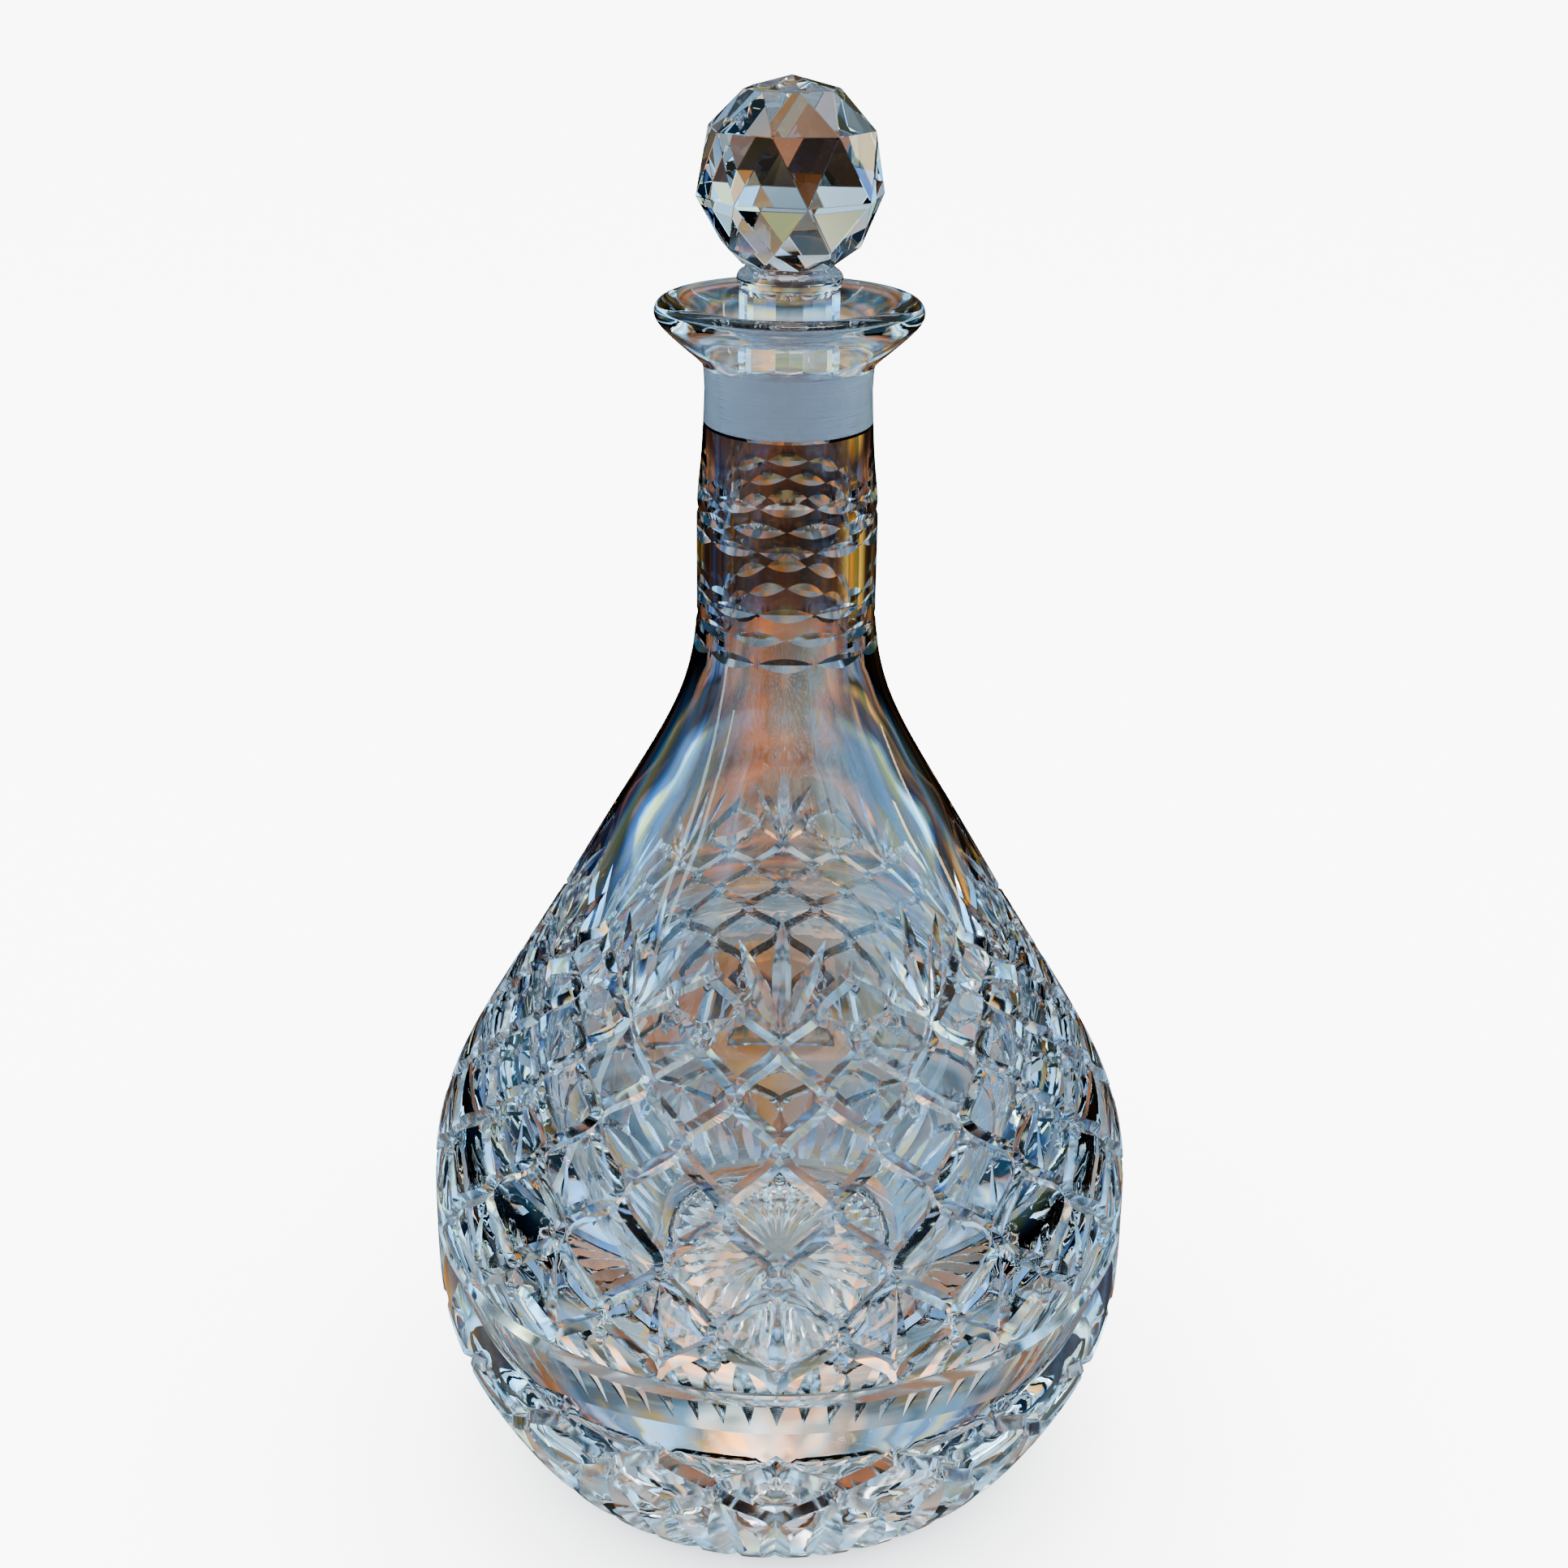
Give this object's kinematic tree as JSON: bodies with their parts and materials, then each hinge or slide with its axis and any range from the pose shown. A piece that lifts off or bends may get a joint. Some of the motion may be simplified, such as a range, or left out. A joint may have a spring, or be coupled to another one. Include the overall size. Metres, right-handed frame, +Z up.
{
  "type": "cut glass decanter",
  "caption": "Round-bellied cut glass decanter with a narrow neck, a flared pouring lip and a faceted ball stopper on a ground plug that lifts out.",
  "frame": {"origin": "centre of the resting face under the foot", "axes": "+Z up along the axis of the neck and body; the front of the object, with a fan of leaf cuts, faces -Y"},
  "size_m": [0.14, 0.14, 0.2759],
  "materials": {
    "body_glass": "clear heavy crystal, fire-polished inside, wheel-cut and acid-polished outside, ground band in the throat",
    "stopper_glass": "clear heavy crystal, flat polished facets, ground plug"
  },
  "bodies": {
    "body": {"decanter_body": "body_glass"},
    "stopper": {"stopper": "stopper_glass"}
  },
  "joints": [
    {"name": "stopper_lift", "type": "slide", "parent": "body", "child": "stopper", "axis": [0, 0, 1], "range_m": [0, 0.08]}
  ]
}
